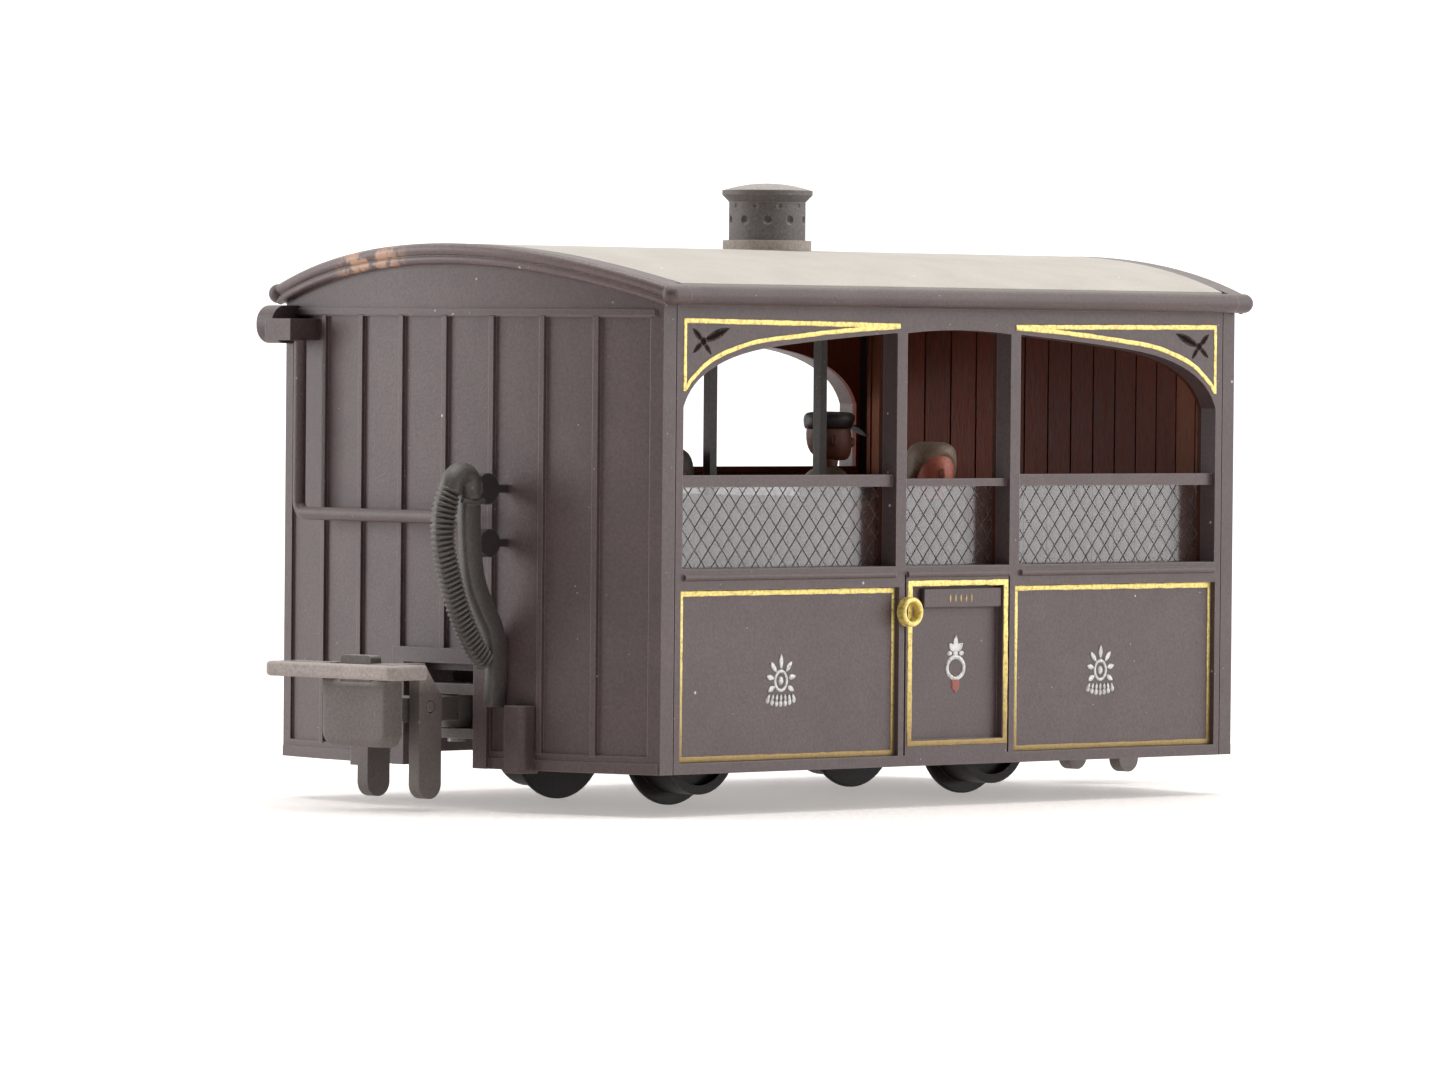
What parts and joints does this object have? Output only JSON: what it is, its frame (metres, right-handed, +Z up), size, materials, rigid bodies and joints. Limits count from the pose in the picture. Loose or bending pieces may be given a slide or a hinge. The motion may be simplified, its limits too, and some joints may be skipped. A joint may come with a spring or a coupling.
{
  "type": "model passenger coach",
  "caption": "Narrow-gauge four-wheel open-sided model coach with bowed planked ends, arched roof, lamp top, mesh windows, swivelling loop couplings and turning wheelsets.",
  "frame": {"origin": "on the surface the wheel flanges stand on, at the middle of the coach in plan", "axes": "+X along the coach towards the rear, +Y across it to the far side, +Z up"},
  "size_m": [0.0592, 0.028, 0.0303],
  "materials": {
    "body_paint": "satin moulded plastic, dark purple-brown, dusted",
    "roof_paint": "weathered light grey",
    "cabin_wood": "painted to look like brown boards",
    "post_paint": "dark grey-brown",
    "lamp_grey": "dark grey with pale dust",
    "mesh_sheet": "clear glossy sheet with a fine diamond mesh",
    "gilt": "gold paint",
    "coupler_plastic": "matt grey-green",
    "steel": "blackened",
    "wheel_black": "near black",
    "bearing_brass": "turned",
    "figure_paint": "hand painted"
  },
  "bodies": {
    "root": {"ballast_weight": "steel", "bearing_cups": "bearing_brass", "bench_front": "cabin_wood", "bench_rear": "cabin_wood", "body_screws": "steel", "cabin_floor": "cabin_wood", "conduit_front": "body_paint", "conduit_rear": "body_paint", "cord_bracket_front": "body_paint", "cord_bracket_rear": "body_paint", "coupling_pocket_front": "coupler_plastic", "coupling_pocket_rear": "coupler_plastic", "door_handle_far": "gilt", "door_handle_near": "gilt", "end_bench_front": "cabin_wood", "end_bench_rear": "cabin_wood", "end_blocks_front": "body_paint", "end_blocks_rear": "body_paint", "end_front": "body_paint", "end_lining_front": "cabin_wood", "end_lining_rear": "cabin_wood", "end_rear": "body_paint", "hose_clips_front": "coupler_plastic", "hose_clips_rear": "coupler_plastic", "lamp_base": "lamp_grey", "lamp_cap": "lamp_grey", "lamp_drum": "lamp_grey", "mesh_glazing_far": "mesh_sheet", "mesh_glazing_near": "mesh_sheet", "passenger_cap": "figure_paint", "passenger_corner": "figure_paint", "passenger_hat": "figure_paint", "pocket_pin_front": "steel", "pocket_pin_rear": "steel", "roof": "roof_paint", "roof_posts": "post_paint", "side_far": "body_paint", "side_lining_far": "cabin_wood", "side_lining_near": "cabin_wood", "side_near": "body_paint", "underframe": "body_paint", "vacuum_hose_front": "coupler_plastic", "vacuum_hose_rear": "coupler_plastic"},
    "wheelset_front": {"axle_front": "steel", "wheel_front_near": "wheel_black", "wheel_front_far": "wheel_black"},
    "wheelset_rear": {"axle_rear": "steel", "wheel_rear_near": "wheel_black", "wheel_rear_far": "wheel_black"},
    "coupler_front": {"coupler_body_front": "coupler_plastic", "loop_pin_front": "coupler_plastic"},
    "coupler_rear": {"coupler_body_rear": "coupler_plastic", "loop_pin_rear": "coupler_plastic"},
    "loop_front": {"coupler_loop_front": "coupler_plastic"},
    "loop_rear": {"coupler_loop_rear": "coupler_plastic"}
  },
  "joints": [
    {"name": "wheelset_front_spin", "type": "hinge", "parent": "root", "child": "wheelset_front", "pos_m": [-0.01043, 0, 0.00312], "axis": [0, 1, 0], "continuous": true},
    {"name": "wheelset_rear_spin", "type": "hinge", "parent": "root", "child": "wheelset_rear", "pos_m": [0.01043, 0, 0.00312], "axis": [0, 1, 0], "continuous": true},
    {"name": "coupler_front_swivel", "type": "hinge", "parent": "root", "child": "coupler_front", "pos_m": [-0.02105, 0, 0.00468], "axis": [0, 0, 1], "range_deg": [-12, 12]},
    {"name": "coupler_rear_swivel", "type": "hinge", "parent": "root", "child": "coupler_rear", "pos_m": [0.02105, 0, 0.00468], "axis": [0, 0, 1], "range_deg": [-12, 12]},
    {"name": "loop_front_lift", "type": "hinge", "parent": "coupler_front", "child": "loop_front", "pos_m": [-0.0248, 0, 0.005], "axis": [0, 1, 0], "range_deg": [0, 28]},
    {"name": "loop_rear_lift", "type": "hinge", "parent": "coupler_rear", "child": "loop_rear", "pos_m": [0.0248, 0, 0.005], "axis": [0, -1, 0], "range_deg": [0, 28]}
  ]
}
